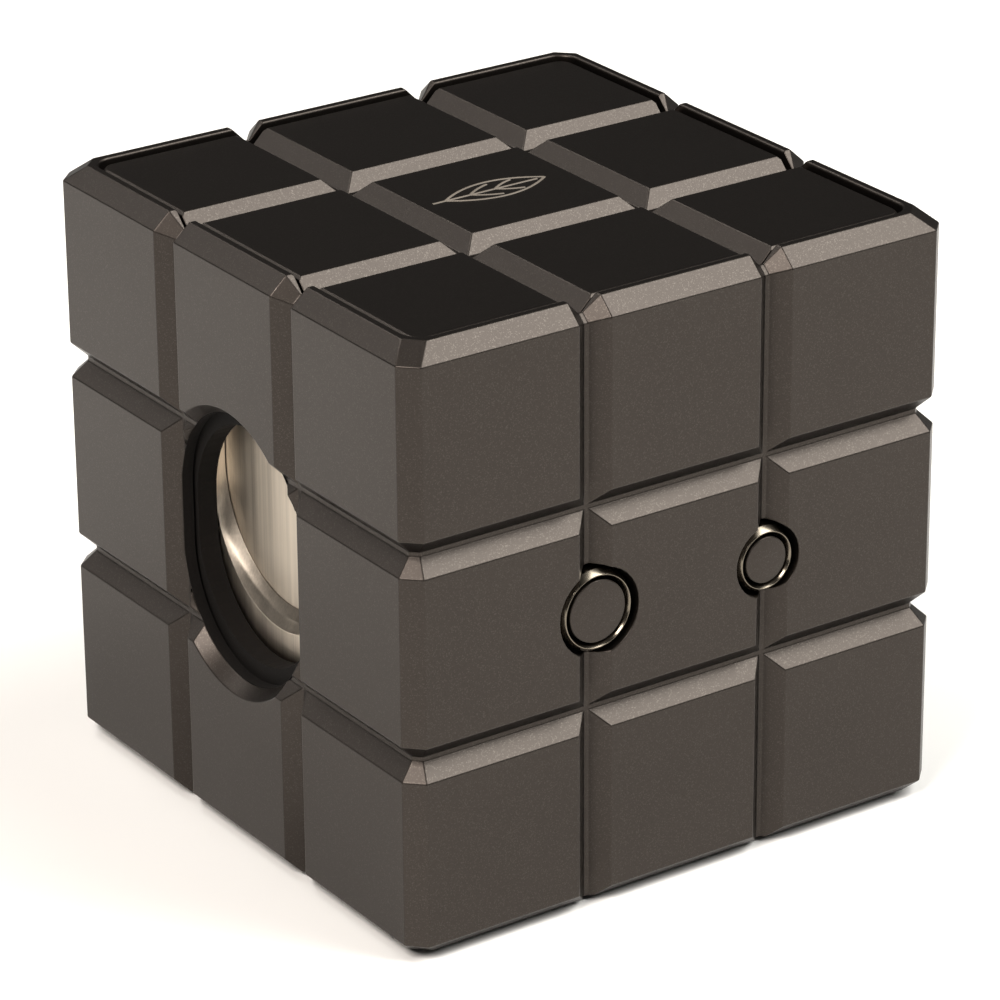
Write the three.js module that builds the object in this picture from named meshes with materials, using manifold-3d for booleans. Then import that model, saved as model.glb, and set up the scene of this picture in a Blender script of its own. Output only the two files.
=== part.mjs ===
// Desktop cigar cutter: a grooved cube with a press plate that works a guillotine and a V-cutter,
// and two punch tubes in its side. Millimetres, +Z up, the foot pad's underside at z = 0.
import * as THREE from 'three';
import { ConvexGeometry } from 'three/addons/geometries/ConvexGeometry.js';
import { mergeVertices, toCreasedNormals } from 'three/addons/utils/BufferGeometryUtils.js';
import Module from 'manifold-3d';

const wasm = await Module();
wasm.setup();

// Clearances
const gap = 0.3; // between pieces that sit against each other
const running = 0.1; // radial, between a post and its bush
const through = 1; // how far a cutter runs past the face that it cuts

// Casing
const side = 75;
const bodyHeight = 74.1;
const wall = 3.2;
const footProud = 0.6;
const edgeChamfer = 2;
const rimHeight = 2;
const rimInset = 2.2;
const baseChamfer = 1.5;
const cavityRadius = 2.5;
const cavityLip = 0.2;
const grooveWidth = 4.4;
const grooveDepth = 1.9;

// Press plate
const plateGap = 0.5;
const plateDrop = 0.5;
const plateThickness = 3.6;
const plateRadius = 2;
const plateEdge = 0.4;
const pressTravel = 26;

// Guillotine opening and its blades
const openingRadius = 14.4;
const openingOffset = 3.5;
const openingBevel = 1.2;
const openingBevelDepth = 1.7;
const mouthSegments = 24;
const bladeSegments = 40;
const linerRadius = 12.7;
const linerOffset = 2;
const bladeDepth = 6.4;
const bladeThickness = 1.4;
const bladeHalfWidth = 17.5;
const bladeGrind = 2.5;
const fixedEdgeRadius = 13.7;
const fixedEdgeRise = 5.1;
const movingEdgeRadius = 14;
const bladeOverlap = 1.7;
const spacerWidth = 4.8;
const cutterDrop = 23.6;
const cutterHeight = 44.2;
const bladeScrewInset = 3;
const bladeScrewRadius = 1;
const bladeScrewHead = 1.9;
const bladeScrewHeadHeight = 0.7;
const bladeScrewGrip = 4;

// Chassis
const chassisBottom = 3.9;
const chassisDrop = 6.6;
const chamberHalf = 13;
const chamberHeight = 30;

// V-cutter
const vMouthRadius = 9.2;
const vMouthBevel = 0.8;
const vThroatRadius = 5.5;
const vCupLength = 8;
const vCupWall = 1.6;
const vCupRim = 8.8;
const vCupFlange = 12;
const vCupFlangeDepth = 2.6;
const vBladeSetback = 8.5;
const vBladeArm = 5;
const vBladeThickness = 0.9;
const vBladeBelow = 10;
const vBladeRake = 25; // degrees
const vCarrierBack = 3;
const vCarrierFront = 1;
const vCarrierSide = 1.5;

// Punches
const punchOffset = 11.9;
const punchWall = 0.5;
const punchGrind = 1.2;
const punchEdge = 0.08;
const punchRecess = 0.3;
const punchBevel = 0.6;
const punchBevelDepth = 0.8;
const punchPocketGap = 1;
const punchSeatDepth = 13.2;
const socketRadius = 7.5;
const socketRearWall = 2;
const ejectorRecess = 0.4;
const ejectorDisc = 1.8;
const ejectorStem = 1.4;
const ejectorTail = 1.3;
const punches = [
  { name: 'large', x: -punchOffset, radius: 4.45 },
  { name: 'small', x: punchOffset, radius: 3.5 },
];

// Guide posts and return springs
const postInset = 9.5;
const postRadius = 2.5;
const postBottom = 6;
const neckRadius = 1.8;
const neckLength = 1.7;
const bushWall = 1.4;
const bushLength = 11.4;
const springWire = 0.7;
const ringThickness = 0.8;
const ringReach = 1.5;
const ringGroove = 0.6;
const ringSeat = 1.1;

// Carriers, latch, base
const carrierHeight = 4.6;
const carrierDepth = 4;
const carrierScrewOffset = 10;
const carrierScrewHeadHeight = 1;
const carrierScrewGrip = 2.5;
const latchWidth = 5;
const latchDepth = 4;
const latchDrop = 9.7;
const latchProud = 2;
const latchFloorThickness = 2;
const tongueWidth = 2;
const tongueDepth = 1.5;
const baseThickness = 3;
const baseLedge = 0.6;
const padHalf = 28;
const padThickness = 1.2;
const padRadius = 3;
const baseScrewInset = 6;
const baseScrewRadius = 1.4;
const baseScrewHead = 2.3;
const baseScrewHeadHeight = 1.5;
const baseScrewLength = 9;

// Levels and faces that follow from the sizes above
const half = side / 2;
const cavity = half - wall;
const pitch = side / 3;
const baseZ = footProud;
const crestZ = baseZ + bodyHeight;
const tileHeight = (bodyHeight - baseChamfer - rimHeight - 2 * grooveWidth) / 3;
const lowerGrooveZ = baseZ + baseChamfer + tileHeight + grooveWidth / 2;
const rowPitch = tileHeight + grooveWidth;
const upperGrooveZ = lowerGrooveZ + rowPitch;
const rowZ = (lowerGrooveZ + upperGrooveZ) / 2;
const plateTop = crestZ - plateDrop;
const plateUnder = plateTop - plateThickness;
const plateHalf = cavity - plateGap;
const underPlate = plateUnder - gap;
const chassisTop = plateUnder - chassisDrop;
const chassisHalf = cavity - gap;
const fixedFront = -half + bladeDepth;
const fixedBack = fixedFront + bladeThickness;
const movingFront = fixedBack + gap;
const movingBack = movingFront + bladeThickness;
const recessX = movingBack + gap;
const spacerInner = bladeHalfWidth + gap;
const cutterHalf = spacerInner + spacerWidth;
const recessHalf = cutterHalf + gap;
const cutterBottom = rowZ - cutterDrop;
const cutterTop = cutterBottom + cutterHeight;
const latchFloor = chassisTop - latchDrop;
const postAt = half - postInset;
const boreRadius = postRadius + running + bushWall + gap;
const bushRadius = postRadius + running + bushWall;
const ringTop = postBottom + ringThickness + ringSeat;
const bushBottom = ringTop + pressTravel + gap;
const bushTop = bushBottom + bushLength;
const carrierBottom = underPlate - carrierHeight;
const bladeScrewY = spacerInner + spacerWidth / 2;
const vApex = half - vBladeSetback;
const chamberFloor = rowZ - chamberHeight / 2;
const chamberRoof = rowZ + chamberHeight / 2;
const corners = [[-1, -1], [1, -1], [1, 1], [-1, 1]];

// Finishes
function finish(color, roughness, metalness) {
  return new THREE.MeshStandardMaterial({ color, roughness, metalness });
}
const graphitePaint = finish(0x4b4641, 0.45, 0.6);
const brushedSteel = finish(0xb5a892, 0.3, 1);
const polishedSteel = finish(0xc9c4bb, 0.12, 1);
const blackPlastic = finish(0x14110f, 0.55, 0);
const darkSteel = finish(0x4a4642, 0.35, 0.9);
const springSteel = finish(0x8f8b84, 0.3, 1);
const brass = finish(0xa98a4c, 0.3, 1);
const rubber = finish(0x1b1a19, 0.9, 0);

// Geometry in, solid out
function solid(geometry) {
  const bare = geometry.index ? geometry.toNonIndexed() : geometry.clone();
  bare.deleteAttribute('normal');
  bare.deleteAttribute('uv');
  const merged = mergeVertices(bare, 1e-4);
  return new wasm.Manifold(new wasm.Mesh({
    numProp: 3,
    vertProperties: new Float32Array(merged.attributes.position.array),
    triVerts: new Uint32Array(merged.index.array),
  }));
}

function block(x, y, z) {
  const box = new THREE.BoxGeometry(x[1] - x[0], y[1] - y[0], z[1] - z[0]);
  return solid(box.translate((x[0] + x[1]) / 2, (y[0] + y[1]) / 2, (z[0] + z[1]) / 2));
}

// A flat outline carried along an axis; `bevel` narrows both ends of it at 45 degrees or as given
function extrude(shape, from, to, axis, bevel = { size: 0, depth: 0 }, curveSegments = 14) {
  const geometry = new THREE.ExtrudeGeometry(shape, {
    depth: to - from - 2 * bevel.depth,
    curveSegments,
    bevelEnabled: bevel.size > 0,
    bevelSize: bevel.size,
    bevelOffset: -bevel.size,
    bevelThickness: bevel.depth,
    bevelSegments: 1,
  });
  geometry.translate(0, 0, from + bevel.depth);
  if (axis === 'x') {
    geometry.applyMatrix4(new THREE.Matrix4().set(0, 0, 1, 0, 1, 0, 0, 0, 0, 1, 0, 0, 0, 0, 0, 1));
  }
  if (axis === 'y') {
    geometry.translate(0, 0, -from - to).rotateX(Math.PI / 2);
  }
  return solid(geometry);
}

// A closed profile of [radius, height] points turned about an axis through (u, v)
function turn(points, axis, u, v) {
  const widest = Math.max(...points.map(([r]) => r));
  const segments = widest < 3 ? 16 : 32;
  const area = points.reduce((sum, [r, h], i) => {
    const [nextR, nextH] = points[(i + 1) % points.length];
    return sum + r * nextH - nextR * h;
  }, 0);
  const ordered = area > 0 ? points : [...points].reverse();
  const closed = [...ordered, ordered[0]].map(([r, h]) => new THREE.Vector2(r, h));
  const geometry = new THREE.LatheGeometry(closed, segments);
  if (axis === 'x') geometry.rotateZ(-Math.PI / 2).translate(0, u, v);
  if (axis === 'y') geometry.translate(u, 0, v);
  if (axis === 'z') geometry.rotateX(Math.PI / 2).translate(u, v, 0);
  return solid(geometry);
}

function rod(radius, from, to, axis, u, v) {
  return turn([[0, from], [radius, from], [radius, to], [0, to]], axis, u, v);
}

function sleeve(inner, outer, from, to, axis, u, v) {
  return turn([[inner, from], [outer, from], [outer, to], [inner, to]], axis, u, v);
}

// Outlines
function roundedSquare(halfWidth, radius) {
  const inner = halfWidth - radius;
  const shape = new THREE.Shape();
  shape.absarc(inner, inner, radius, 0, Math.PI / 2);
  shape.absarc(-inner, inner, radius, Math.PI / 2, Math.PI);
  shape.absarc(-inner, -inner, radius, Math.PI, 1.5 * Math.PI);
  shape.absarc(inner, -inner, radius, 1.5 * Math.PI, 2 * Math.PI);
  return shape;
}

// The eight corners of a square with its corners cut off, at one level
function cutSquare(halfWidth, cut, z) {
  const edge = halfWidth - cut;
  return corners.flatMap(([sx, sy]) => [
    new THREE.Vector3(sx * halfWidth, sy * edge, z),
    new THREE.Vector3(sx * edge, sy * halfWidth, z),
  ]);
}

function obround(radius, offset, centre) {
  const shape = new THREE.Shape();
  shape.absarc(0, centre + offset, radius, 0, Math.PI);
  shape.absarc(0, centre - offset, radius, Math.PI, 2 * Math.PI);
  return shape;
}

// A 45-degree V groove with a flat floor, cut into the face with this outward normal
function channel(outward, along, onFace, length) {
  const floor = grooveWidth / 2 - grooveDepth;
  const shape = new THREE.Shape([
    new THREE.Vector2(-floor, -grooveDepth),
    new THREE.Vector2(floor, -grooveDepth),
    new THREE.Vector2(grooveWidth / 2 + through, through),
    new THREE.Vector2(-grooveWidth / 2 - through, through),
  ]);
  const geometry = new THREE.ExtrudeGeometry(shape, { depth: length, bevelEnabled: false });
  geometry.translate(0, 0, -length / 2);
  const across = new THREE.Vector3().crossVectors(outward, along);
  const place = new THREE.Matrix4().makeBasis(across, outward, along).setPosition(onFace);
  return solid(geometry.applyMatrix4(place));
}

const axisX = new THREE.Vector3(1, 0, 0);
const axisY = new THREE.Vector3(0, 1, 0);
const axisZ = new THREE.Vector3(0, 0, 1);
const longCut = 2 * Math.max(side, bodyHeight);

// The two grooves each way across a face that looks up
function topGrooves(z) {
  return [-pitch / 2, pitch / 2].flatMap((offset) => [
    channel(axisZ, axisY, new THREE.Vector3(offset, 0, z), longCut),
    channel(axisZ, axisX, new THREE.Vector3(0, offset, z), longCut),
  ]);
}

function sideGrooves() {
  const faces = [
    [axisX.clone().negate(), axisY], [axisX, axisY],
    [axisY.clone().negate(), axisX], [axisY, axisX],
  ];
  return faces.flatMap(([outward, level]) => {
    const face = outward.clone().multiplyScalar(half);
    const upright = [-pitch / 2, pitch / 2].map((offset) => {
      const at = level.clone().multiplyScalar(offset).add(face);
      return channel(outward, axisZ, at.setZ(rowZ), longCut);
    });
    const flat = [lowerGrooveZ, upperGrooveZ].map((z) => {
      return channel(outward, level, face.clone().setZ(z), longCut);
    });
    return [...upright, ...flat];
  });
}

// The same grooves carried over the rim chamfer, and round the chamfered upright edges
function chamferGrooves() {
  const rimFaces = [
    [axisX.clone().negate(), axisY], [axisX, axisY],
    [axisY.clone().negate(), axisX], [axisY, axisX],
  ];
  const overRim = rimFaces.flatMap(([outward, level]) => {
    const normal = outward.clone().multiplyScalar(rimHeight).addScaledVector(axisZ, rimInset).normalize();
    const along = axisZ.clone().multiplyScalar(rimHeight).addScaledVector(outward, -rimInset).normalize();
    const middle = outward.clone().multiplyScalar(half - rimInset / 2).setZ(crestZ - rimHeight / 2);
    return [-pitch / 2, pitch / 2].map((offset) => {
      return channel(normal, along, middle.clone().addScaledVector(level, offset), 3 * rimInset);
    });
  });
  const roundEdges = corners.flatMap(([sx, sy]) => {
    const normal = new THREE.Vector3(sx, sy, 0).normalize();
    const along = new THREE.Vector3(-sy, sx, 0).normalize();
    const reach = half - edgeChamfer / 2;
    return [lowerGrooveZ, upperGrooveZ].map((z) => {
      return channel(normal, along, new THREE.Vector3(sx * reach, sy * reach, z), 3 * edgeChamfer);
    });
  });
  return [...overRim, ...roundEdges];
}

function cutAll(body, cutters) {
  return cutters.reduce((left, cutter) => left.subtract(cutter), body);
}

// Casing
function makeCasing() {
  const outer = solid(new ConvexGeometry([
    ...cutSquare(half - baseChamfer, edgeChamfer, baseZ),
    ...cutSquare(half, edgeChamfer, baseZ + baseChamfer),
    ...cutSquare(half, edgeChamfer, crestZ - rimHeight),
    ...cutSquare(half - rimInset, edgeChamfer, crestZ),
  ]));
  const lip = { size: cavityLip, depth: cavityLip };
  const lipOutline = roundedSquare(cavity + cavityLip, cavityRadius + cavityLip);
  const mouth = obround(openingRadius, openingOffset, rowZ);
  const mouthBevel = { size: openingBevel, depth: openingBevelDepth };
  const throat = obround(openingRadius - openingBevel, openingOffset, rowZ);
  const vMouth = [
    [0, half + through], [vMouthRadius + vMouthBevel, half + through], [vMouthRadius + vMouthBevel, half],
    [vMouthRadius, half - vMouthBevel], [vMouthRadius, cavity - through], [0, cavity - through],
  ];
  return cutAll(outer, [
    extrude(roundedSquare(cavity, cavityRadius), -through, crestZ + through, 'z'),
    extrude(lipOutline, crestZ - cavityLip, crestZ + 4, 'z', lip),
    extrude(roundedSquare(cavity + baseLedge + gap, cavityRadius), -through, chassisBottom, 'z'),
    ...sideGrooves(),
    ...topGrooves(crestZ),
    ...chamferGrooves(),
    extrude(mouth, -half - 3 * openingBevelDepth, -half + openingBevelDepth, 'x', mouthBevel, mouthSegments),
    extrude(throat, -half - through, -cavity + through, 'x', undefined, mouthSegments),
    ...punches.map(({ x, radius }) => {
      return rod(radius + punchPocketGap, -half - through, -cavity + through, 'y', x, rowZ);
    }),
    turn(vMouth, 'x', 0, rowZ),
  ]);
}

// Chassis: a floor, a roof and two side walls round the clipping chamber. They hold the blades,
// the punches and the bushes.
function chassisSlab(from, to) {
  return extrude(roundedSquare(chassisHalf, cavityRadius - gap), from, to, 'z');
}

function postBores() {
  return corners.map(([sx, sy]) => rod(boreRadius, 0, crestZ, 'z', sx * postAt, sy * postAt));
}

function bladeScrewBores() {
  return bladeScrewHoles(recessX - through, recessX + 4.5, bladeScrewRadius + gap);
}

function cutterRecess() {
  return block([-half, recessX], [-recessHalf, recessHalf], [cutterBottom - gap, crestZ]);
}

function makeChassisFloor() {
  const slab = chassisSlab(chassisBottom, chamberFloor - gap);
  const screwBores = baseScrewPlaces().map(([x, y]) => {
    return rod(baseScrewRadius + gap, 0, chassisBottom + baseScrewLength - 1, 'z', x, y);
  });
  return cutAll(slab, [cutterRecess(), ...postBores(), ...screwBores, ...bladeScrewBores()]);
}

function makeChassisRoof() {
  const slab = chassisSlab(chamberRoof + gap, chassisTop);
  const latchX = [-latchWidth - gap, latchWidth + gap];
  const latchY = [-latchDepth - gap, latchDepth + gap];
  const vSlotHalf = vBladeArm + 1;
  return cutAll(slab, [
    cutterRecess(),
    block([vApex - vBladeArm - 1, vApex + 1], [-vSlotHalf, vSlotHalf], [0, crestZ]),
    block(latchX, latchY, [latchFloor - gap, crestZ]),
    ...postBores(),
    ...bladeScrewBores(),
  ]);
}

function makeChassisWall(hand, sideBores) {
  const slab = chassisSlab(chamberFloor, chamberRoof);
  const other = hand < 0 ? [-chamberHalf, side] : [-side, chamberHalf];
  return cutAll(slab, [
    block([-side, side], other, [0, crestZ]),
    cutterRecess(),
    ...postBores(),
    ...sideBores,
  ]);
}

function punchBores() {
  return punches.map(({ x }) => rod(socketRadius + gap, -half, -chamberHalf - 1.3, 'y', x, rowZ));
}

// Base
function baseScrewPlaces() {
  const at = half - baseScrewInset;
  return [[-at, 0], [at, 0], [0, -at], [0, at]];
}

function makeBasePlate() {
  const plate = extrude(roundedSquare(cavity + baseLedge, cavityRadius), baseZ, baseZ + baseThickness, 'z');
  const pocket = extrude(roundedSquare(padHalf + gap, padRadius + gap), -through, padThickness + gap, 'z');
  const holes = baseScrewPlaces().flatMap(([x, y]) => [
    rod(baseScrewRadius + gap, 0, crestZ / 2, 'z', x, y),
    rod(baseScrewHead + gap, -through, baseZ + baseScrewHeadHeight + 2 * gap, 'z', x, y),
  ]);
  return cutAll(plate, [pocket, ...holes]);
}

function makeBaseScrew([x, y]) {
  const headTop = baseZ + gap + baseScrewHeadHeight;
  const screw = turn([
    [0, baseZ + gap], [baseScrewHead, baseZ + gap], [baseScrewHead, headTop],
    [baseScrewRadius, headTop], [baseScrewRadius, headTop + baseScrewLength], [0, headTop + baseScrewLength],
  ], 'z', x, y);
  const slot = block([x - baseScrewHead, x + baseScrewHead], [y - gap, y + gap], [0, baseZ + 3 * gap]);
  return screw.subtract(slot);
}

// Guillotine
function bladeScrewPlaces() {
  const levels = [cutterBottom + bladeScrewInset, cutterTop - bladeScrewInset];
  return [-1, 1].flatMap((hand) => levels.map((z) => [hand * bladeScrewY, z]));
}

function bladeScrewHoles(from, to, radius) {
  return bladeScrewPlaces().map(([y, z]) => rod(radius, from, to, 'x', y, z));
}

function makeLiner() {
  const front = -cavity + gap;
  const back = fixedFront - gap;
  const plate = block([front, back], [-cutterHalf, cutterHalf], [cutterBottom, cutterTop]);
  return cutAll(plate, [
    extrude(obround(linerRadius, linerOffset, rowZ), front - through, back + through, 'x'),
    ...bladeScrewHoles(front - through, back + through, bladeScrewRadius + gap),
    ...bladeScrewHoles(front - through, front + 1.3, bladeScrewHead + gap),
  ]);
}

// A round edge ground back on one side: the cutting outline leans by bladeGrind through the blade
function groundCut(shape, from, to, lean) {
  const cut = extrude(shape, from - through, to + through, 'x', undefined, bladeSegments);
  const slope = lean / (to - from);
  return cut.transform([1, 0, slope, 0, 0, 1, 0, 0, 0, 0, 1, 0, 0, 0, -slope * to, 1]);
}

function makeFixedBlade() {
  const edge = new THREE.Shape();
  const centre = rowZ + fixedEdgeRise;
  edge.moveTo(fixedEdgeRadius, crestZ);
  edge.lineTo(-fixedEdgeRadius, crestZ);
  edge.absarc(0, centre, fixedEdgeRadius, Math.PI, 2 * Math.PI);
  const plate = block([fixedFront, fixedBack], [-cutterHalf, cutterHalf], [cutterBottom, cutterTop]);
  return cutAll(plate, [
    groundCut(edge, fixedFront, fixedBack, bladeGrind),
    ...bladeScrewHoles(fixedFront - through, fixedBack + through, bladeScrewRadius + gap),
  ]);
}

function makeMovingBlade() {
  const apex = rowZ + fixedEdgeRise - fixedEdgeRadius - bladeOverlap;
  const centre = apex - movingEdgeRadius;
  const arch = new THREE.Shape();
  arch.moveTo(-movingEdgeRadius, -side);
  arch.lineTo(movingEdgeRadius, -side);
  arch.absarc(0, centre, movingEdgeRadius, 0, Math.PI);
  const plate = block([movingFront, movingBack], [-bladeHalfWidth, bladeHalfWidth], [centre + 1, underPlate]);
  const lean = extrude(arch, movingFront - through, movingBack + through, 'x', undefined, bladeSegments);
  const slope = bladeGrind / (movingBack - movingFront);
  const ground = lean.transform([1, 0, slope, 0, 0, 1, 0, 0, 0, 0, 1, 0, 0, 0, -slope * movingFront, 1]);
  return cutAll(plate, [
    ground,
    ...carrierScrewPlaces().map(([y, z]) => {
      return rod(bladeScrewRadius + gap, movingFront - through, movingBack + through, 'x', y, z);
    }),
  ]);
}

function makeSpacer(hand) {
  const inner = hand * spacerInner;
  const outer = hand * cutterHalf;
  const bar = block(
    [fixedBack + gap, recessX - gap],
    [Math.min(inner, outer), Math.max(inner, outer)],
    [cutterBottom, cutterTop],
  );
  return cutAll(bar, bladeScrewHoles(fixedBack, recessX, bladeScrewRadius + gap));
}

function makeBladeScrew([y, z]) {
  const front = -cavity + 2 * gap;
  return turn([
    [0, front], [bladeScrewHead, front], [bladeScrewHead, front + bladeScrewHeadHeight],
    [bladeScrewRadius, front + bladeScrewHeadHeight],
    [bladeScrewRadius, recessX + bladeScrewGrip], [0, recessX + bladeScrewGrip],
  ], 'x', y, z);
}

function carrierScrewPlaces() {
  const z = underPlate - carrierHeight / 2;
  return [[-carrierScrewOffset, z], [carrierScrewOffset, z]];
}

function makeBladeCarrier() {
  const depth = [recessX, recessX + carrierDepth];
  const bar = block(depth, [-bladeHalfWidth, bladeHalfWidth], [carrierBottom, underPlate]);
  return cutAll(bar, carrierScrewPlaces().map(([y, z]) => {
    return rod(bladeScrewRadius + gap, recessX - through, recessX + 3, 'x', y, z);
  }));
}

function makeCarrierScrew([y, z]) {
  const headBack = movingFront - gap;
  const headFront = headBack - carrierScrewHeadHeight;
  return turn([
    [0, headFront], [bladeScrewHead, headFront], [bladeScrewHead, headBack],
    [bladeScrewRadius, headBack],
    [bladeScrewRadius, recessX + carrierScrewGrip], [0, recessX + carrierScrewGrip],
  ], 'x', y, z);
}

// V-cutter
function wedge(apexX, grow) {
  const back = apexX - 2 * vBladeArm;
  const spread = 2 * vBladeArm + grow;
  return new THREE.Shape([
    new THREE.Vector2(apexX + grow, 0),
    new THREE.Vector2(back + grow, spread),
    new THREE.Vector2(back + grow, -spread),
  ]);
}

function makeVCup() {
  const mouth = cavity - gap;
  const throat = mouth - vCupLength;
  const cup = turn([
    [vCupRim, mouth], [vCupFlange, mouth], [vCupFlange, mouth - vCupFlangeDepth],
    [vCupRim + vCupWall / 2, mouth - vCupFlangeDepth],
    [vThroatRadius + vCupWall, throat], [vThroatRadius, throat],
  ], 'x', 0, rowZ);
  return cup.subtract(extrude(wedge(vApex, 2 * gap), 0, crestZ, 'z'));
}

function makeVBlade() {
  const outer = extrude(wedge(vApex, 0), rowZ - vBladeBelow, carrierBottom - gap, 'z');
  const inner = extrude(wedge(vApex - vBladeThickness * Math.SQRT2, 0), 0, crestZ, 'z');
  const behind = block([-half, vApex - vBladeArm], [-side, side], [0, crestZ]);
  const rake = block([-side, side], [-side, side], [-side, 0]);
  const tilt = rake.rotate([0, -vBladeRake, 0]).translate([vApex, 0, rowZ - vBladeBelow]);
  return cutAll(outer, [inner, behind, tilt]);
}

function makeVCarrier() {
  const halfWidth = vBladeArm + vCarrierSide;
  const depth = [vApex - vBladeArm - vCarrierBack, vApex + vCarrierFront];
  return block(depth, [-halfWidth, halfWidth], [carrierBottom, underPlate]);
}

// Punches: `radius` is that of the tube's ground crest, which its bevel widens by punchBevel
function makeSocket({ x, radius }) {
  const front = -cavity + gap;
  const seat = -half + punchSeatDepth;
  const rear = seat + gap + socketRearWall;
  const bore = radius + punchBevel + gap;
  return turn([
    [bore, front], [socketRadius, front], [socketRadius, rear],
    [ejectorStem + gap, rear], [ejectorStem + gap, seat + gap], [bore, seat + gap],
  ], 'y', x, rowZ);
}

function makePunchTube({ x, radius }) {
  const inner = radius - punchWall;
  const outer = radius + punchBevel;
  const crest = -half + punchRecess;
  return turn([
    [radius - punchEdge, crest], [radius + punchEdge, crest], [outer, crest + punchBevelDepth],
    [outer, -half + punchSeatDepth], [inner, -half + punchSeatDepth], [inner, -half + punchGrind],
  ], 'y', x, rowZ);
}

function ejectorBack() {
  return -half + punchSeatDepth + gap + socketRearWall;
}

function makeEjector({ x, radius }) {
  const face = -half + ejectorRecess;
  const disc = radius - punchWall - 1.5 * running;
  const clip = ejectorBack() + gap;
  const groove = ejectorStem - ringGroove + 0.1;
  return turn([
    [0, face], [disc, face], [disc, face + ejectorDisc], [ejectorStem, face + ejectorDisc],
    [ejectorStem, clip - gap], [groove, clip - gap],
    [groove, clip + ringThickness + gap], [ejectorStem, clip + ringThickness + gap],
    [ejectorStem, clip + ringThickness + ejectorTail], [0, clip + ringThickness + ejectorTail],
  ], 'y', x, rowZ);
}

function makeEjectorRing({ x }) {
  const clip = ejectorBack() + gap;
  const inner = ejectorStem - ringGroove + 0.1 + gap;
  return sleeve(inner, ejectorStem + ringReach, clip, clip + ringThickness, 'y', x, rowZ);
}

function makeEjectorSpring({ x, radius }) {
  const outer = radius - punchWall - 0.4;
  const from = -half + ejectorRecess + ejectorDisc + gap;
  return sleeve(outer - springWire, outer, from, -half + punchSeatDepth - gap, 'y', x, rowZ);
}

// Posts
function makePost([sx, sy]) {
  const groove = postRadius - ringGroove;
  const clip = ringTop - ringThickness;
  return turn([
    [0, postBottom], [postRadius, postBottom], [postRadius, clip - gap], [groove, clip - gap],
    [groove, ringTop + gap], [postRadius, ringTop + gap], [postRadius, underPlate],
    [neckRadius, underPlate], [neckRadius, underPlate + neckLength], [0, underPlate + neckLength],
  ], 'z', sx * postAt, sy * postAt);
}

function makeStopRing([sx, sy]) {
  const inner = postRadius - ringGroove + gap;
  const outer = postRadius + ringReach;
  return sleeve(inner, outer, ringTop - ringThickness, ringTop, 'z', sx * postAt, sy * postAt);
}

function makeBush([sx, sy]) {
  return sleeve(postRadius + running, bushRadius, bushBottom, bushTop, 'z', sx * postAt, sy * postAt);
}

function makeReturnSpring([sx, sy]) {
  const inner = postRadius + 1.5 * gap;
  return sleeve(inner, inner + springWire, bushTop + gap, underPlate, 'z', sx * postAt, sy * postAt);
}

// Press plate and latch
function makePressPlate() {
  const edge = { size: plateEdge, depth: plateEdge };
  const plate = extrude(roundedSquare(plateHalf, plateRadius), plateUnder, plateTop, 'z', edge);
  const neckHoles = corners.map(([sx, sy]) => {
    return rod(neckRadius + gap, 0, underPlate + neckLength + gap, 'z', sx * postAt, sy * postAt);
  });
  return cutAll(plate, [...topGrooves(plateTop), ...neckHoles]);
}

function makeLatchHousing() {
  const top = chassisTop + latchProud;
  const shell = block([-latchWidth, latchWidth], [-latchDepth, latchDepth], [latchFloor, top]);
  const slot = [latchFloor + latchFloorThickness, top + through];
  const slotX = [-tongueWidth - gap, tongueWidth + gap];
  const slotY = [-tongueDepth - gap, tongueDepth + gap];
  return shell.subtract(block(slotX, slotY, slot));
}

function makeLatchTongue() {
  const z = [latchFloor + latchFloorThickness + gap, underPlate];
  return block([-tongueWidth, tongueWidth], [-tongueDepth, tongueDepth], z);
}

// Scene graph
const cutter = new THREE.Group();
cutter.name = 'desk_cutter';

function add(name, body, material) {
  const { vertProperties, triVerts } = body.getMesh();
  const geometry = new THREE.BufferGeometry();
  geometry.setAttribute('position', new THREE.BufferAttribute(Float32Array.from(vertProperties), 3));
  geometry.setIndex(new THREE.BufferAttribute(Uint32Array.from(triVerts), 1));
  const mesh = new THREE.Mesh(toCreasedNormals(geometry, Math.PI / 6), material);
  mesh.name = name;
  cutter.add(mesh);
}

add('casing', makeCasing(), graphitePaint);
add('base_plate', makeBasePlate(), blackPlastic);
add('foot_pad', extrude(roundedSquare(padHalf, padRadius), 0, padThickness, 'z'), rubber);
baseScrewPlaces().forEach((place, i) => add(`base_screw_${i + 1}`, makeBaseScrew(place), darkSteel));
add('chassis_floor', makeChassisFloor(), blackPlastic);
add('chassis_roof', makeChassisRoof(), blackPlastic);
add('chassis_punch_wall', makeChassisWall(-1, punchBores()), blackPlastic);
add('chassis_back_wall', makeChassisWall(1, []), blackPlastic);
add('cutter_liner', makeLiner(), blackPlastic);
add('fixed_blade', makeFixedBlade(), brushedSteel);
add('blade_spacer_left', makeSpacer(-1), brass);
add('blade_spacer_right', makeSpacer(1), brass);
bladeScrewPlaces().forEach((place, i) => add(`blade_screw_${i + 1}`, makeBladeScrew(place), darkSteel));
add('v_cup', makeVCup(), blackPlastic);
punches.forEach((punch) => {
  add(`punch_socket_${punch.name}`, makeSocket(punch), blackPlastic);
  add(`punch_tube_${punch.name}`, makePunchTube(punch), polishedSteel);
  add(`ejector_${punch.name}`, makeEjector(punch), darkSteel);
  add(`ejector_ring_${punch.name}`, makeEjectorRing(punch), springSteel);
  add(`ejector_spring_${punch.name}`, makeEjectorSpring(punch), springSteel);
});
add('latch_housing', makeLatchHousing(), blackPlastic);
add('press_plate', makePressPlate(), graphitePaint);
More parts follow.
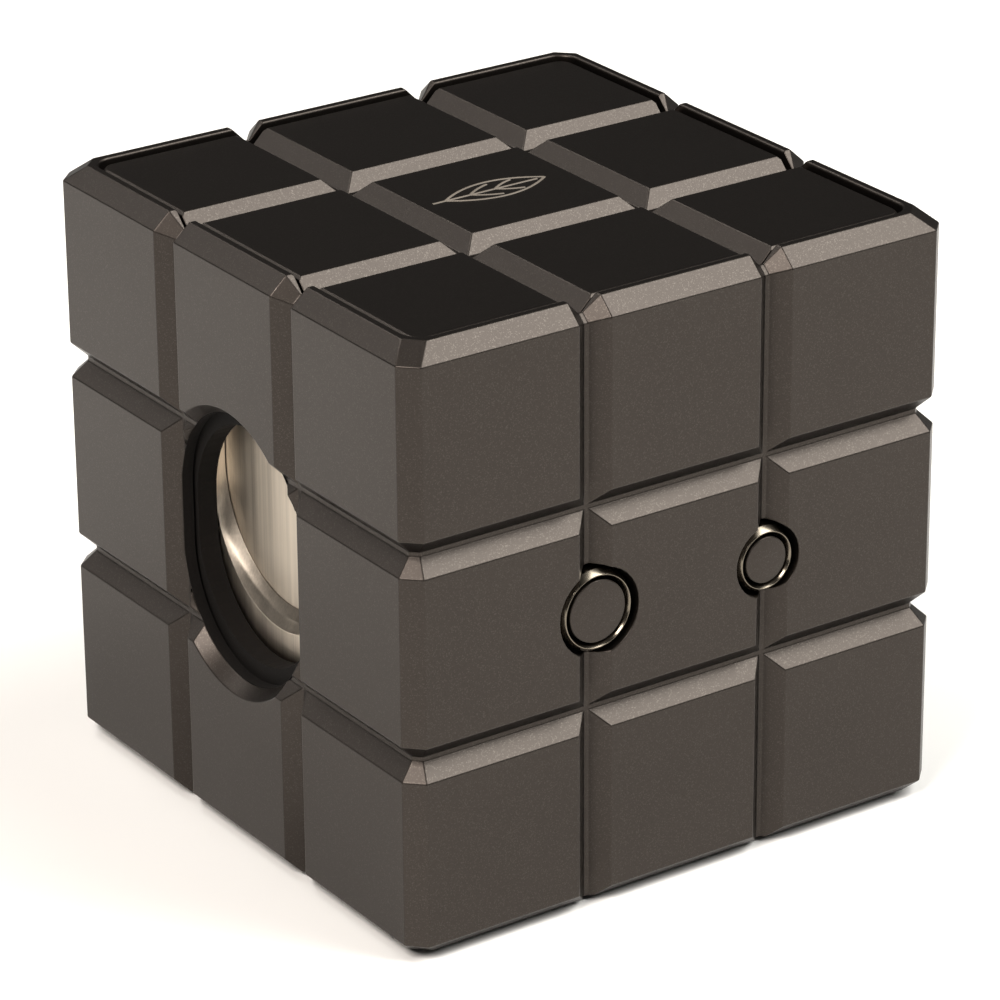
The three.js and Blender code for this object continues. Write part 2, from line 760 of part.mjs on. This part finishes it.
corners.forEach((corner, i) => {
  add(`guide_post_${i + 1}`, makePost(corner), polishedSteel);
  add(`guide_bush_${i + 1}`, makeBush(corner), brass);
  add(`stop_ring_${i + 1}`, makeStopRing(corner), springSteel);
  add(`return_spring_${i + 1}`, makeReturnSpring(corner), springSteel);
});
add('moving_blade', makeMovingBlade(), brushedSteel);
add('blade_carrier', makeBladeCarrier(), blackPlastic);
carrierScrewPlaces().forEach((place, i) => add(`carrier_screw_${i + 1}`, makeCarrierScrew(place), darkSteel));
add('v_blade', makeVBlade(), brushedSteel);
add('v_carrier', makeVCarrier(), blackPlastic);
add('latch_tongue', makeLatchTongue(), darkSteel);

export default cutter;
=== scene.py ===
# Desktop cigar cutter cube: the looks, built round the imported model
from math import radians, tau

import bmesh
import bpy
import numpy as np
from mathutils import Matrix, Vector


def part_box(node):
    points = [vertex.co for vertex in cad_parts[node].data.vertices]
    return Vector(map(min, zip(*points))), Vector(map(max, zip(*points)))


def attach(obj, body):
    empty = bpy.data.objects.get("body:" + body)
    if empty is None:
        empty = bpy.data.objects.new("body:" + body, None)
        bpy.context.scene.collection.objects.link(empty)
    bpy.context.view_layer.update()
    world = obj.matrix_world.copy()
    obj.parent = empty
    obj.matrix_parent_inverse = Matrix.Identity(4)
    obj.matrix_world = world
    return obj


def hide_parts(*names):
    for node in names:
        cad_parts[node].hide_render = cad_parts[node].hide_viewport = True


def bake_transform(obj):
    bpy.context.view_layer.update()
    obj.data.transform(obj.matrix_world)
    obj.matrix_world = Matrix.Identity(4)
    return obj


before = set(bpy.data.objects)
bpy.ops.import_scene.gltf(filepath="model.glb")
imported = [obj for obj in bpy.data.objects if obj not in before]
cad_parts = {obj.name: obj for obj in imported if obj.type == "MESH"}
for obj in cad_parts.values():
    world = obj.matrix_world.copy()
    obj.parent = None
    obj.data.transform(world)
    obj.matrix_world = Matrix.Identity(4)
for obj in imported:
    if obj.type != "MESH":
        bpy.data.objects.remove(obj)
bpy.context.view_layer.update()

print("frame loaded:", len(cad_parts), "nodes")
mm = 0.001


# camera
camera = {
    "place": (-0.29824, -0.43467, 0.26880),
    "turn": -34.4875,  # degrees about the vertical, from looking along +Y
    "down": 23.9545,
    "roll": -0.4218,
    "lens": 173.62,
    "sensor": 36.0,
    "near": 0.01,
    "far": 20,
}


def placeCamera():
    # the turn about the vertical, then the tilt down, then the roll about the line of sight
    data = bpy.data.cameras.new("camera")
    data.lens = camera["lens"]
    data.sensor_width = camera["sensor"]
    data.clip_start, data.clip_end = camera["near"], camera["far"]
    eye = bpy.data.objects.new("camera", data)
    turn = Matrix.Rotation(radians(camera["turn"]), 4, "Z")
    tilt = Matrix.Rotation(radians(90 - camera["down"]), 4, "X")
    roll = Matrix.Rotation(radians(camera["roll"]), 4, "Z")
    eye.matrix_world = Matrix.Translation(camera["place"]) @ turn @ tilt @ roll
    bpy.context.scene.collection.objects.link(eye)
    bpy.context.scene.camera = eye


# shader maths
class Wire:
    # one output socket of a material's nodes; arithmetic on it adds Math nodes
    def __init__(self, tree, socket=None):
        self.tree = tree
        self.socket = socket

    def node(self, kind, settings=None, sockets=None, out=0):
        # settings go on first, then a value or a link for each socket
        made = self.tree.nodes.new("ShaderNode" + kind)
        for name, value in (settings or {}).items():
            if name == "stops":
                ramp = made.color_ramp
                while len(ramp.elements) < len(value):
                    ramp.elements.new(1.0)
                for element, (place, colour) in zip(ramp.elements, value):
                    element.position = place
                    element.color = colour
            else:
                setattr(made, name, value)
        for name, value in (sockets or {}).items():
            if isinstance(value, Wire):
                self.tree.links.new(value.socket, made.inputs[name])
            else:
                made.inputs[name].default_value = value
        return Wire(self.tree, made.outputs[out])

    def output(self, number):
        # another output of the same node
        return Wire(self.tree, self.socket.node.outputs[number])

    def maths(self, operation, *values):
        return self.node("Math", {"operation": operation}, dict(enumerate(values)))

    def __add__(self, other):
        return self.maths("ADD", self, other)

    def __radd__(self, other):
        return self.maths("ADD", other, self)

    def __sub__(self, other):
        return self.maths("SUBTRACT", self, other)

    def __rsub__(self, other):
        return self.maths("SUBTRACT", other, self)

    def __mul__(self, other):
        return self.maths("MULTIPLY", self, other)

    def __rmul__(self, other):
        return self.maths("MULTIPLY", other, self)

    def __gt__(self, other):
        return self.maths("GREATER_THAN", self, other)

    def blend(self, low, high):
        # a colour between two, by this value
        colours = {0: self, 6: low, 7: high}
        return self.node("Mix", {"data_type": "RGBA"}, colours, 2)

    def ramp(self, *stops):
        # colour or grey by this value: (place, colour) stops
        return self.node("ValToRGB", {"stops": stops}, {"Fac": self})


def rgb(red, green, blue):
    return (red, green, blue, 1.0)


def newMaterial(name, **fixed):
    # a Principled material with its fixed values on the shader's own sockets
    material = bpy.data.materials.new(name)
    material.use_nodes = True
    tree = material.node_tree
    tree.nodes.clear()
    shader = tree.nodes.new("ShaderNodeBsdfPrincipled")
    for socket, value in fixed.items():
        shader.inputs[socket.replace("_", " ")].default_value = value
    output = tree.nodes.new("ShaderNodeOutputMaterial")
    tree.links.new(shader.outputs[0], output.inputs[0])
    place = Wire(tree).node("TexCoord", out=3)  # Object coordinates
    return material, shader, place


def feed(shader, **links):
    for socket, wire in links.items():
        wire.tree.links.new(wire.socket, shader.inputs[socket.replace("_", " ")])


def noise(place, scale, detail):
    return place.node("TexNoise", {}, {"Vector": place, "Scale": scale, "Detail": detail})


def bumped(height, strength, depth):
    return height.node("Bump", {}, {"Strength": strength, "Distance": depth, "Height": height})


def scaled(colour, share):
    return tuple(share * part for part in colour[:3]) + (1.0,)


# finishes
graphite = {
    "dark": rgb(0.0385, 0.0328, 0.0290),
    "light": rgb(0.0495, 0.0425, 0.0378),
    "flake": rgb(0.074, 0.066, 0.058),
    "flakesPerMetre": 9500,
    "sparkLevel": 0.9,  # one flake in ten is over this and sparks
    "sparkShare": 0.5,
    "mottlePerMetre": 90,
    "peelPerMetre": 1400,
    "bump": 0.09,
    "bumpDepth": 0.00003,
    "roughness": 0.38,
    "coat": 0.06,
    "coatRoughness": 0.25,
}
brushed = {
    "alongPerMetre": 30.0,
    "acrossPerMetre": 4200.0,
    "broadShare": 0.16,  # of the fine scratches' number per metre
    "dull": 0.72,
    "bump": 0.25,
    "bumpDepth": 0.00002,
    "anisotropic": 0.5,
}
machined = {
    "marksPerMetre": 2600.0,
    "tarnishPerMetre": 140.0,
    "dull": 0.78,
    "bump": 0.12,
    "bumpDepth": 0.00002,
}
moulded = {
    "cloudPerMetre": 120.0,
    "pale": 1.5,
    "bump": 0.3,
    "bumpDepth": 0.00005,
    "specular": 0.2,
}
# colour and roughness of each, and for the moulded ones how many pits per metre
tones = {
    "blackPlastic": (rgb(0.004, 0.0032, 0.0028), 0.75, 3000.0),
    "footRubber": (rgb(0.012, 0.012, 0.012), 0.75, 2000.0),
    "darkSteel": (rgb(0.10, 0.092, 0.083), 0.3),
    "bladeSteel": (rgb(0.70, 0.62, 0.52), 0.22),
    "polishedSteel": (rgb(0.80, 0.77, 0.72), 0.08),
    "springWire": (rgb(0.5, 0.48, 0.45), 0.25),
    "turnedBrass": (rgb(0.62, 0.44, 0.2), 0.25),
    "punchSteel": (rgb(0.20, 0.175, 0.14), 0.16),
    "markPaint": (rgb(0.17, 0.148, 0.122), 0.45),
}


def graphitePaint():
    # dark metallic lacquer: crisp flakes, each of its own tone, under a faint orange peel
    material, shader, place = newMaterial(
        "graphitePaint",
        Metallic=1.0,
        Coat_Weight=graphite["coat"],
        Coat_Roughness=graphite["coatRoughness"],
    )
    cells = {"Vector": place, "Scale": graphite["flakesPerMetre"]}
    flakes = place.node("TexVoronoi", {}, cells, 1)
    parts = place.node("SeparateColor", {}, {"Color": flakes})
    tone = parts.output(0)
    spark = parts.output(1) > graphite["sparkLevel"]
    mottle = noise(place, graphite["mottlePerMetre"], 4.0)
    body = (tone * 0.6 + mottle * 0.4).blend(graphite["dark"], graphite["light"])
    colour = (spark * graphite["sparkShare"]).blend(body, graphite["flake"])
    peel = noise(place, graphite["peelPerMetre"], 2.0)
    bump = bumped(peel * 0.6 + tone * 0.4, graphite["bump"], graphite["bumpDepth"])
    rough = graphite["roughness"] + tone * 0.06 - spark * 0.04
    feed(shader, Base_Color=colour, Roughness=rough, Normal=bump)
    return material


def brushedSteel(name, along):
    # rolled sheet with fine straight scratches along one axis
    colour, roughness = tones[name]
    material, shader, place = newMaterial(name, Metallic=1.0, Anisotropic=brushed["anisotropic"])
    stretch = tuple(
        brushed["alongPerMetre"] if axis == along else brushed["acrossPerMetre"]
        for axis in "xyz"
    )
    grain = place.node("Mapping", {"vector_type": "POINT"}, {"Vector": place, "Scale": stretch})
    scratches = {"Vector": grain, "Scale": 1.0, "Detail": 3.0, "Roughness": 0.7}
    fine = place.node("TexNoise", {}, scratches)
    mixed = fine * 0.65 + noise(grain, brushed["broadShare"], 1.0) * 0.35
    tint = mixed.ramp((0.3, scaled(colour, brushed["dull"])), (0.7, colour))
    bump = bumped(mixed, brushed["bump"], brushed["bumpDepth"])
    feed(shader, Base_Color=tint, Roughness=roughness + mixed * 0.2, Normal=bump)
    return material


def turnedMetal(name, metallic=1.0):
    # machined metal with faint tool marks and a little tarnish
    colour, roughness = tones[name]
    material, shader, place = newMaterial(name, Metallic=metallic)
    marks = noise(place, machined["marksPerMetre"], 2.0)
    tarnish = noise(place, machined["tarnishPerMetre"], 3.0)
    tint = tarnish.ramp((0.35, scaled(colour, machined["dull"])), (0.65, colour))
    bump = bumped(marks, machined["bump"], machined["bumpDepth"])
    feed(shader, Base_Color=tint, Roughness=roughness + tarnish * 0.12, Normal=bump)
    return material


def mouldedBlack(name):
    # moulded plastic or rubber with a fine spark-eroded grain
    colour, roughness, pitsPerMetre = tones[name]
    material, shader, place = newMaterial(name, Specular_IOR_Level=moulded["specular"])
    pits = noise(place, pitsPerMetre, 2.0)
    cloud = noise(place, moulded["cloudPerMetre"], 3.0)
    tint = cloud.ramp((0.3, colour), (0.8, scaled(colour, moulded["pale"])))
    bump = bumped(pits, moulded["bump"], moulded["bumpDepth"])
    feed(shader, Base_Color=tint, Roughness=roughness + pits * 0.15, Normal=bump)
    return material


# meshes
def meshObject(name, points, faces):
    mesh = bpy.data.meshes.new(name)
    mesh.from_pydata(points, [], faces)
    mesh.update()
    made = bpy.data.objects.new(name, mesh)
    bpy.context.scene.collection.objects.link(made)
    return made


def loopFaces(rows, columns, closeRows):
    # quads over a grid that closes on itself along its columns, and along its rows if asked
    lastRow = rows if closeRows else rows - 1
    r, c = np.meshgrid(np.arange(lastRow), np.arange(columns), indexing="ij")
    nextR, nextC = (r + 1) % rows, (c + 1) % columns
    corners = [
        r * columns + c, r * columns + nextC, nextR * columns + nextC, nextR * columns + c,
    ]
    return np.stack(corners, -1).reshape(-1, 4)


def turned(name, profile, axis, centre, steps=96):
    # a closed profile of (radius, height) turned about an axis:
    # place = centre + radius * (cos, sin) + height * axis
    profile = np.asarray(profile, float)
    angle = np.linspace(0, tau, steps, endpoint=False)
    radius, height = profile[:, 0][None, :], profile[:, 1][None, :]
    across, up = np.cos(angle)[:, None] * radius, np.sin(angle)[:, None] * radius
    along = np.broadcast_to(height, across.shape)
    order = {"x": (along, across, up), "y": (up, along, across), "z": (across, up, along)}[axis]
    points = np.stack(order, -1).reshape(-1, 3) + np.asarray(centre, float)
    made = meshObject(name, points.tolist(), loopFaces(steps, len(profile), True).tolist())
    tidyMesh(made)
    return made


# distances in metres, angles in degrees
finishing = {
    "mergeMade": 1e-7,
    "sharpMade": 35,
    "mergeCopied": 2e-6,
    "flatCopied": 0.6,
    "sliverCopied": 3e-5,
    "roundCopied": 25,
    "flatWeight": 60,
}


def tidyMesh(made, keepFlats=True):
    # doubles merged and the faces turned outwards
    work = bmesh.new()
    work.from_mesh(made.data)
    bmesh.ops.remove_doubles(work, verts=work.verts, dist=finishing["mergeMade"])
    bmesh.ops.recalc_face_normals(work, faces=work.faces)
    work.to_mesh(made.data)
    work.free()
    made.data.shade_smooth()
    if keepFlats:
        made.data.set_sharp_from_angle(angle=radians(finishing["sharpMade"]))


def rounded(corners, radius, steps=4, share=0.45):
    # a closed profile with each corner replaced by a short curve,
    # (1-t)^2 a + 2t(1-t) corner + t^2 b, that takes up at most a share of each side;
    # points on the axis keep their place
    corners = np.asarray(corners, float)
    back = np.roll(corners, 1, 0) - corners
    ahead = np.roll(corners, -1, 0) - corners
    lengths = [np.linalg.norm(side, axis=1)[:, None] for side in (back, ahead)]
    reach = np.where(corners[:, :1] < 1e-9, 0, radius)
    trims = [np.minimum(reach, share * length) / length for length in lengths]
    first, last = corners + back * trims[0], corners + ahead * trims[1]
    t = np.linspace(0, 1, steps)[None, :, None]
    bend = 2 * t * (1 - t) * corners[:, None]
    curve = (1 - t) ** 2 * first[:, None] + bend + t**2 * last[:, None]
    return curve.reshape(-1, 2)


def softenedCopy(name, node, edge, segments=3):
    # a merged copy of a CAD node, flats joined, with its clear edges rounded
    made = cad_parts[node].copy()
    made.data = made.data.copy()
    for key in list(made.keys()):
        del made[key]
    made.name = name
    made.data.name = name
    made.parent = None
    bpy.context.scene.collection.objects.link(made)
    work = bmesh.new()
    work.from_mesh(made.data)
    bmesh.ops.remove_doubles(work, verts=work.verts, dist=finishing["mergeCopied"])
    flatAngle = radians(finishing["flatCopied"])
    bmesh.ops.dissolve_limit(work, angle_limit=flatAngle, verts=work.verts, edges=work.edges)
    bmesh.ops.dissolve_degenerate(work, dist=finishing["sliverCopied"], edges=work.edges)
    work.to_mesh(made.data)
    work.free()
    made.data.shade_smooth()
    bevel = made.modifiers.new("edges", "BEVEL")
    bevel.width = edge
    bevel.segments = segments
    bevel.limit_method = "ANGLE"
    bevel.angle_limit = radians(finishing["roundCopied"])
    bevel.use_clamp_overlap = False
    flats = made.modifiers.new("flats", "WEIGHTED_NORMAL")
    flats.mode = "FACE_AREA"
    flats.weight = finishing["flatWeight"]
    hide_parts(node)
    return made


def dress(made, material, body):
    made.data.materials.clear()
    made.data.materials.append(material)
    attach(made, body)


# casing and press plate
painted = {"casingEdge": 0.13 * mm, "plateEdge": 0.13 * mm}


def makePaintedParts(paint):
    casing = softenedCopy("casingShell", "casing", painted["casingEdge"])
    dress(casing, paint, "frame")
    plate = softenedCopy("pressTop", "press_plate", painted["plateEdge"])
    dress(plate, paint, "press")


# blades
blades = {"edge": 0.05 * mm, "shutGap": 0.22 * mm}


def makeBlades(steel):
    # the fixed blade's back face is brought up close to the moving one, as a shear's are
    fixed = softenedCopy("fixedBladePlate", "fixed_blade", blades["edge"], 2)
    low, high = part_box("fixed_blade")
    points = np.empty(len(fixed.data.vertices) * 3)
    fixed.data.vertices.foreach_get("co", points)
    points = points.reshape(-1, 3)
    points[:, 0] += np.where(points[:, 0] > (low.x + high.x) / 2, blades["shutGap"], 0)
    fixed.data.vertices.foreach_set("co", points.ravel())
    dress(fixed, steel, "frame")
    moving = softenedCopy("movingBladePlate", "moving_blade", blades["edge"], 2)
    dress(moving, steel, "press")


# mouth and mark
mouth = {
    "radius": 13.2 * mm,
    "offset": 3.5 * mm,  # the two half circles' centres lie this far above and below the middle
    "middle": 37.4 * mm,
    "from": -35.75 * mm,
    "to": -34.35 * mm,
    "thick": 0.06 * mm,
    "steps": 128,
}
mark = {
    "length": 7.0 * mm,
    "halfWidth": 0.18 * mm,
    "halfHeight": 0.06 * mm,
    "steps": 40,  # along a stroke
    "around": 8,
    # start x, start y, end x, end y, bulge, as shares of the length
    "strokes": [
        (-1, 0, 1, 0, 0.36), (-1, 0, 1, 0, -0.36), (-1.25, 0, 0.85, 0, 0),
        (-0.5, 0, 0, 0.26, 0.03), (0, 0, 0.45, 0.22, 0.03),
        (-0.5, 0, 0, -0.26, -0.03), (0, 0, 0.45, -0.22, -0.03),
    ],
}


def makeMouthSleeve(black):
    # an obround band: a circle of the radius, its halves moved apart by the offset, carried along X
    steps = mouth["steps"]
    angle = np.linspace(0, tau, steps, endpoint=False)
    apart = np.where(np.sin(angle) >= 0, mouth["offset"], -mouth["offset"])
    inside = mouth["radius"] - mouth["thick"]
    section = [
        (mouth["radius"], mouth["from"]), (mouth["radius"], mouth["to"]),
        (inside, mouth["to"]), (inside, mouth["from"]),
    ]
    radius, along = np.asarray(section).T
    out = np.sin(angle)[:, None] * radius[None, :]
    points = np.zeros((steps, len(section), 3))
    points[..., 0] = along[None, :]
    points[..., 1] = np.cos(angle)[:, None] * radius[None, :]
    points[..., 2] = mouth["middle"] + apart[:, None] + out
    faces = loopFaces(steps, len(section), True).tolist()
    made = meshObject("mouthSleeve", points.reshape(-1, 3).tolist(), faces)
    tidyMesh(made)
    dress(made, black, "frame")


def makeMark(paint):
    # a plain leaf: each stroke is start + t (end - start) + 4 t (1 - t) bulge, with an oval section
    strokes = np.asarray(mark["strokes"]) * mark["length"]
    count, steps, around = len(strokes), mark["steps"], mark["around"]
    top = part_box("press_plate")[1].z
    t = np.linspace(0, 1, steps)[None, :, None]
    start, end = strokes[:, None, 0:2], strokes[:, None, 2:4]
    run = end - start
    side = np.stack([-run[..., 1], run[..., 0]], -1) / np.linalg.norm(run, axis=-1, keepdims=True)
    path = start + t * run + 4 * t * (1 - t) * strokes[:, None, 4:5] * side
    ahead = np.gradient(path, axis=1)
    ahead = ahead / np.linalg.norm(ahead, axis=-1, keepdims=True)
    across = np.stack([-ahead[..., 1], ahead[..., 0]], -1)
    ring = np.linspace(0, tau, around, endpoint=False)
    wide = (mark["halfWidth"] * np.cos(ring))[:, None]
    points = np.zeros((count, steps, around, 3))
    points[..., :2] = path[:, :, None] + across[:, :, None] * wide
    points[..., 2] = top + mark["halfHeight"] * np.sin(ring)
    # each stroke's sides, then the cap at each of its ends
    each = steps * around
    grid = loopFaces(steps, around, False)
    ends = np.stack([np.arange(around), np.arange(each - around, each)])
    faces = [face for stroke in range(count) for face in (grid + stroke * each).tolist()]
    faces += [face for stroke in range(count) for face in (ends + stroke * each).tolist()]
    made = meshObject("leafMark", points.reshape(-1, 3).tolist(), faces)
    tidyMesh(made)
    dress(made, paint, "press")


# punches
punch = {
    "crest": 0.04 * mm,
    "wall": 0.5 * mm,
    "bevel": 0.6 * mm,
    "bevelDepth": 0.8 * mm,
    "grind": 0.9 * mm,
    "tubeRound": 0.04 * mm,
    "disc": 1.8 * mm,
    "stem": 1.4 * mm,
    "groove": 0.9 * mm,
    "gap": 0.3 * mm,
    "discRound": 0.15 * mm,
}


def makePunch(size, polished, paint):
    low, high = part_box(f"punch_tube_{size}")
    centre = ((low.x + high.x) / 2, 0, (low.z + high.z) / 2)
    outer = (high.x - low.x) / 2
    crest = outer - punch["bevel"]
    inner = crest - punch["wall"]
    profile = [
        (crest - punch["crest"], low.y), (crest + punch["crest"], low.y),
        (outer, low.y + punch["bevelDepth"]),
        (outer, high.y), (inner, high.y), (inner, low.y + punch["grind"]),
    ]
    tube = turned(f"punchTube_{size}", rounded(profile, punch["tubeRound"]), "y", centre)
    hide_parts(f"punch_tube_{size}")
    dress(tube, polished, "frame")
    # the ejector behind it: a painted disc on a stem with a groove for its ring
    low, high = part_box(f"ejector_{size}")
    ringLow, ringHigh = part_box(f"ejector_ring_{size}")
    wide, stem, groove = (high.x - low.x) / 2, punch["stem"], punch["groove"]
    discBack = low.y + punch["disc"]
    grooveFront, grooveBack = ringLow.y - punch["gap"], ringHigh.y + punch["gap"]
    profile = [
        (0, low.y), (wide, low.y), (wide, discBack), (stem, discBack),
        (stem, grooveFront), (groove, grooveFront), (groove, grooveBack), (stem, grooveBack),
        (stem, high.y), (0, high.y),
    ]
    ejector = turned(f"ejectorDisc_{size}", rounded(profile, punch["discRound"]), "y", centre)
    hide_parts(f"ejector_{size}")
    dress(ejector, paint, f"{size}_ejector")


# springs
springs = {
    "returnTurns": 13,
    "returnWire": 0.35 * mm,  # the wire's radius
    "ejectorTurns": 8,
    "ejectorWire": 0.3 * mm,
    "stepsPerTurn": 28,
    "around": 10,
}


def coil(name, node, axis, turns, wire, material):
    # a round wire wound on a helix, with its last turn at each end closed up flat
    low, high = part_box(node)
    along = "xyz".index(axis)
    sides = [side for side in range(3) if side != along]
    centre = [(low[side] + high[side]) / 2 for side in sides]
    radius = (high[sides[0]] - low[sides[0]]) / 2 - wire
    count, around = turns * springs["stepsPerTurn"], springs["around"]
    share = np.linspace(0, 1, count)
    angle = tau * turns * share
    closed = 1.0 / turns
    lift = np.clip((share - closed) / (1 - 2 * closed), 0, 1)
    flat = 2 * wire * (np.minimum(share / closed, 1) + np.clip((share - 1 + closed) / closed, 0, 1))
    # each closed turn rises by two wire radii, and the wire itself takes one at each end
    length = high[along] - low[along] - 6 * wire
    height = low[along] + wire + flat + lift * length
    ring = np.linspace(0, tau, around, endpoint=False)
    out = radius + wire * np.cos(ring)[None, :]
    points = np.zeros((count, around, 3))
    points[..., sides[0]] = centre[0] + np.cos(angle)[:, None] * out
    points[..., sides[1]] = centre[1] + np.sin(angle)[:, None] * out
    points[..., along] = height[:, None] + wire * np.sin(ring)[None, :]
    faces = loopFaces(count, around, False).tolist()
    faces.append(list(range(around)))
    faces.append(list(range((count - 1) * around, count * around)))
    made = meshObject(name, points.reshape(-1, 3).tolist(), faces)
    tidyMesh(made, keepFlats=False)
    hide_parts(node)
    made.data.materials.append(material)
    start, end = Vector((0, 0, 0)), Vector((0, 0, 0))
    start[along], end[along] = low[along], high[along]
    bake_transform(made)


def makeSprings(wireSteel):
    for number in (1, 2, 3, 4):
        coil(f"returnCoil_{number}", f"return_spring_{number}", "z", springs["returnTurns"],
             springs["returnWire"], wireSteel)
    for size in ("large", "small"):
        coil(f"ejectorCoil_{size}", f"ejector_spring_{size}", "y", springs["ejectorTurns"],
             springs["ejectorWire"], wireSteel)


# everything else keeps its CAD shape and only gets its finish
plain = {
    "black_plastic": ["base_plate", "chassis_floor", "chassis_roof", "chassis_punch_wall",
                      "chassis_back_wall", "cutter_liner", "v_cup", "punch_socket_large",
                      "punch_socket_small", "latch_housing", "blade_carrier", "v_carrier"],
    "rubber": ["foot_pad"],
    "dark_steel": ["base_screw_1", "base_screw_2", "base_screw_3", "base_screw_4", "blade_screw_1",
                   "blade_screw_2", "blade_screw_3", "blade_screw_4",
                   "carrier_screw_1", "carrier_screw_2", "latch_tongue"],
    "blade_steel": ["v_blade"],
    "brass": ["blade_spacer_left", "blade_spacer_right", "guide_bush_1", "guide_bush_2",
              "guide_bush_3", "guide_bush_4"],
    "polished_steel": ["guide_post_1", "guide_post_2", "guide_post_3", "guide_post_4"],
    "spring_steel": ["ejector_ring_large", "ejector_ring_small", "stop_ring_1", "stop_ring_2",
                     "stop_ring_3", "stop_ring_4"],
}


def dressCadNodes(finishes):
    for slot, nodes in plain.items():
        for node in nodes:
            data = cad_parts[node].data
            data.materials.clear()
            data.materials.append(finishes[slot])


# room and light
studio = {
    "floor": rgb(0.92, 0.915, 0.90),
    "floorHalf": 6,
    "aim": (0, 0, 0.035),  # the point that the lamps face
    "world": rgb(1.0, 0.98, 0.95),
    "worldStrength": 0.06,
    # name: place, size, power in watts, colour
    "lamps": {
        "overhead": ((0.62, -0.5, 0.95), (0.8, 0.8), 20, (1.0, 0.985, 0.945)),
        "left": ((-0.9, -0.3, 1.1), (0.6, 0.6), 20, (1.0, 0.93, 0.87)),
        "back": ((-0.2, 0.9, 1.3), (0.6, 0.6), 8, (1.0, 0.97, 0.93)),
        "low": ((-0.66, 1.2, 0.83), (0.5, 0.5), 2, (1.0, 0.96, 0.92)),
    },
}


def makeStudio():
    half = studio["floorHalf"]
    corners = [(-half, -half, 0), (half, -half, 0), (half, half, 0), (-half, half, 0)]
    floor = meshObject("floor", corners, [(0, 1, 2, 3)])
    plainPaint = newMaterial("paleFloor", Roughness=0.9, Base_Color=studio["floor"])[0]
    floor.data.materials.append(plainPaint)
    world = bpy.data.worlds.new("studio")
    world.use_nodes = True
    sky = world.node_tree.nodes["Background"]
    sky.inputs["Color"].default_value = studio["world"]
    sky.inputs["Strength"].default_value = studio["worldStrength"]
    bpy.context.scene.world = world
    target = Vector(studio["aim"])
    for name, (spot, (width, depth), power, colour) in studio["lamps"].items():
        lamp = bpy.data.lights.new(name, "AREA")
        lamp.shape = "RECTANGLE"
        lamp.size, lamp.size_y = width, depth
        lamp.energy = power
        lamp.color = colour
        made = bpy.data.objects.new(name, lamp)
        made.location = spot
        made.rotation_euler = (target - Vector(spot)).to_track_quat("-Z", "Y").to_euler()
        bpy.context.scene.collection.objects.link(made)
    bpy.context.scene.view_settings.view_transform = "Standard"


placeCamera()
makeStudio()
print("camera and studio in place")

finishes = {
    "graphite_paint": graphitePaint(),
    "black_plastic": mouldedBlack("blackPlastic"),
    "rubber": mouldedBlack("footRubber"),
    "dark_steel": turnedMetal("darkSteel"),
    "blade_steel": brushedSteel("bladeSteel", "z"),
    "polished_steel": turnedMetal("polishedSteel"),
    "spring_steel": turnedMetal("springWire"),
    "brass": turnedMetal("turnedBrass"),
}
punchSteel = turnedMetal("punchSteel")
markPaint = turnedMetal("markPaint", metallic=0.0)
dressCadNodes(finishes)
print("finishes on")

makePaintedParts(finishes["graphite_paint"])
makeBlades(finishes["blade_steel"])
for size in ("large", "small"):
    makePunch(size, punchSteel, finishes["graphite_paint"])
makeMouthSleeve(finishes["black_plastic"])
makeMark(markPaint)
makeSprings(finishes["spring_steel"])
